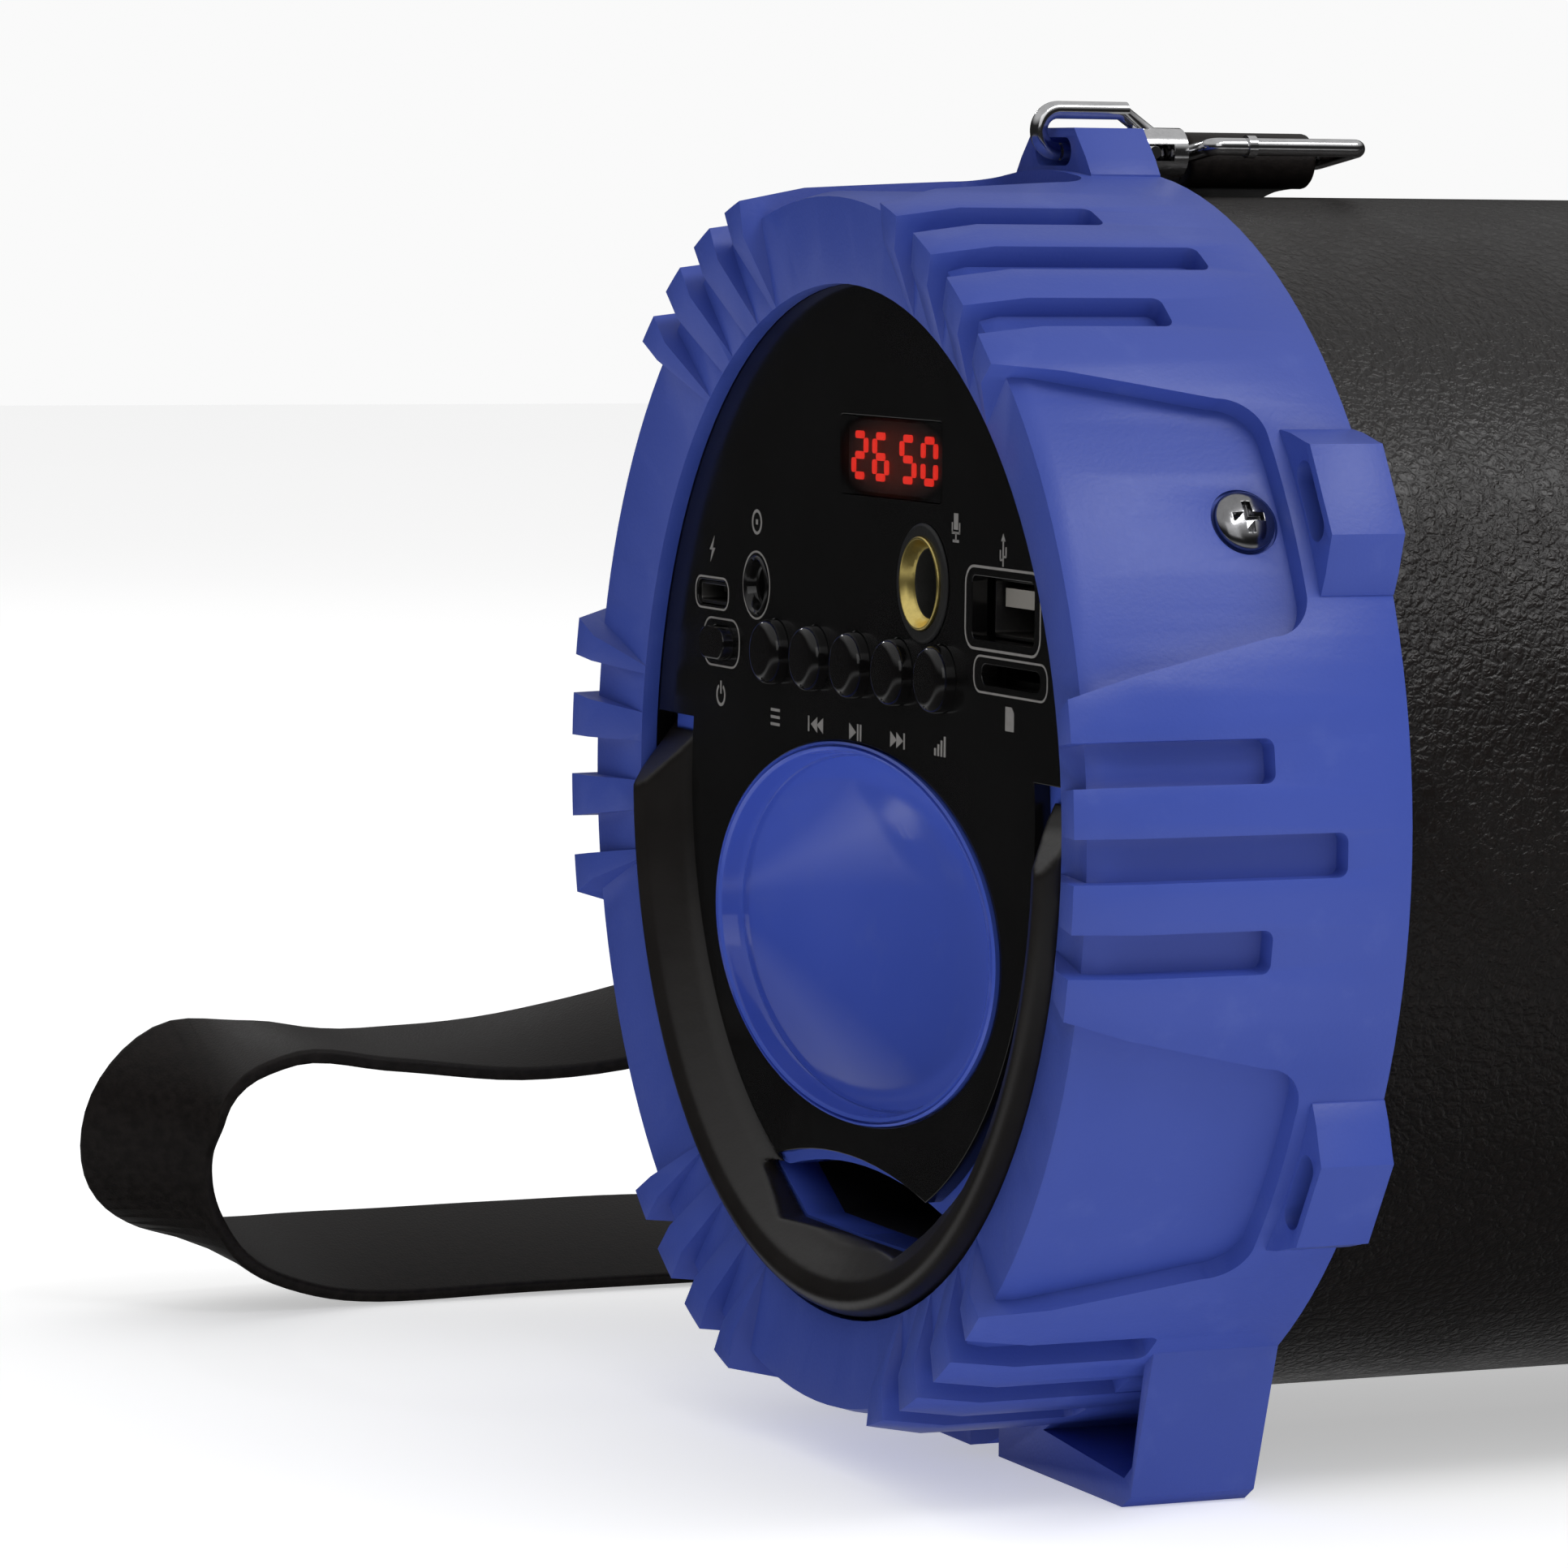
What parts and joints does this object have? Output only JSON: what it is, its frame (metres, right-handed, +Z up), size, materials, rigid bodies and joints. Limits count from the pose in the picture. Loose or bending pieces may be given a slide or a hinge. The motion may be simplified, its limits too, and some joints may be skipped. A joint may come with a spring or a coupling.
{
  "type": "portable tube loudspeaker",
  "caption": "Portable tube loudspeaker with blue ribbed bumper rings, a push-button control panel and bass port in one end, a woofer in the other, and a carrying strap on snap hooks.",
  "frame": {"origin": "on the floor, midway along the tube and under its axis", "axes": "+X along the tube from the control panel to the woofer, +Y to the side where the strap lies, +Z up"},
  "size_m": [0.3666, 0.1744, 0.1301],
  "materials": {
    "leatherette": "pebbled black leatherette, satin",
    "blue_plastic": "satin moulded royal blue",
    "black_gloss": "glossy black",
    "black_satin": "satin dark grey-black",
    "black_plastic": "plain black",
    "chrome": "bright plated steel",
    "steel": "plain steel",
    "spring_steel": "spring wire",
    "gold": "polished gold plate",
    "board_tube": "wound board",
    "display_window": "dark red window",
    "led": "lit red",
    "board": "green board",
    "parts_black": "component black",
    "white_plastic": "white plastic",
    "cell_sleeve": "shrink sleeve",
    "lead": "insulated lead",
    "ferrite": "ferrite",
    "copper": "copper winding",
    "cone": "pressed paper",
    "surround": "butyl rubber",
    "spider": "impregnated cloth",
    "strap": "flat black woven strap"
  },
  "bodies": {
    "cabinet": {"tube": "board_tube", "leatherette_wrap": "leatherette", "front_bumper_ring": "blue_plastic", "rear_bumper_ring": "blue_plastic", "front_ring_screws": "chrome", "rear_ring_screws": "chrome", "front_cap": "black_plastic", "control_panel": "black_gloss", "lower_rim": "black_satin", "blue_dish_insert": "blue_plastic", "bass_port_duct": "black_plastic", "display_window": "display_window", "display_module": "parts_black", "display_digits": "led", "circuit_board": "board", "board_chips": "parts_black", "board_screws": "steel", "button_switches": "parts_black", "mic_jack": "black_plastic", "mic_jack_nut": "gold", "aux_jack": "black_gloss", "charging_port": "steel", "usb_port": "steel", "usb_tongue": "white_plastic", "card_slot": "steel", "battery_cell": "cell_sleeve", "battery_cradle": "black_plastic", "battery_leads": "lead", "speaker_leads": "lead", "rear_cap": "black_plastic", "woofer_basket": "black_plastic", "woofer_screws": "steel", "woofer_terminals": "board", "woofer_top_plate": "steel", "woofer_magnet": "ferrite", "woofer_yoke": "steel", "woofer_surround": "surround", "woofer_spider": "spider", "front_strap_ring": "chrome", "rear_strap_ring": "chrome", "front_strap_end": "strap", "rear_strap_end": "strap", "strap": "strap", "strap_rivets": "chrome"},
    "power_key": {"power_button": "black_gloss"},
    "mode_key": {"mode_button": "black_gloss"},
    "previous_key": {"previous_button": "black_gloss"},
    "play_key": {"play_button": "black_gloss"},
    "next_key": {"next_button": "black_gloss"},
    "mic_volume_key": {"mic_volume_button": "black_gloss"},
    "woofer_diaphragm": {"voice_coil": "copper", "woofer_cone": "cone", "woofer_dust_cap": "cone"},
    "front_snap_hook": {"front_hook": "chrome", "front_hook_spring": "spring_steel"},
    "front_snap_bolt": {"front_hook_bolt": "chrome"},
    "rear_snap_hook": {"rear_hook": "chrome", "rear_hook_spring": "spring_steel"},
    "rear_snap_bolt": {"rear_hook_bolt": "chrome"}
  },
  "joints": [
    {"name": "power_press", "type": "slide", "parent": "cabinet", "child": "power_key", "axis": [1, 0, 0], "range_m": [0, 0.0005], "stiffness_N_per_m": 600},
    {"name": "mode_press", "type": "slide", "parent": "cabinet", "child": "mode_key", "axis": [1, 0, 0], "range_m": [0, 0.0005], "stiffness_N_per_m": 600},
    {"name": "previous_press", "type": "slide", "parent": "cabinet", "child": "previous_key", "axis": [1, 0, 0], "range_m": [0, 0.0005], "stiffness_N_per_m": 600},
    {"name": "play_press", "type": "slide", "parent": "cabinet", "child": "play_key", "axis": [1, 0, 0], "range_m": [0, 0.0005], "stiffness_N_per_m": 600},
    {"name": "next_press", "type": "slide", "parent": "cabinet", "child": "next_key", "axis": [1, 0, 0], "range_m": [0, 0.0005], "stiffness_N_per_m": 600},
    {"name": "mic_volume_press", "type": "slide", "parent": "cabinet", "child": "mic_volume_key", "axis": [1, 0, 0], "range_m": [0, 0.0005], "stiffness_N_per_m": 600},
    {"name": "woofer_excursion", "type": "slide", "parent": "cabinet", "child": "woofer_diaphragm", "axis": [1, 0, 0], "range_m": [-0.002, 0.002], "stiffness_N_per_m": 1500, "deforming": ["woofer_surround", "woofer_spider"]},
    {"name": "front_hook_swivel", "type": "hinge", "parent": "cabinet", "child": "front_snap_hook", "pos_m": [-0.1088, 0, 0.12525], "axis": [1, 0, 0], "range_deg": [-25, 25]},
    {"name": "front_bolt_slide", "type": "slide", "parent": "front_snap_hook", "child": "front_snap_bolt", "axis": [1, 0, 0], "range_m": [0, 0.0022], "stiffness_N_per_m": 250, "deforming": ["front_hook_spring"]},
    {"name": "rear_hook_swivel", "type": "hinge", "parent": "cabinet", "child": "rear_snap_hook", "pos_m": [0.1088, 0, 0.12525], "axis": [1, 0, 0], "range_deg": [-25, 25]},
    {"name": "rear_bolt_slide", "type": "slide", "parent": "rear_snap_hook", "child": "rear_snap_bolt", "axis": [-1, 0, 0], "range_m": [0, 0.0022], "stiffness_N_per_m": 250, "deforming": ["rear_hook_spring"]}
  ]
}
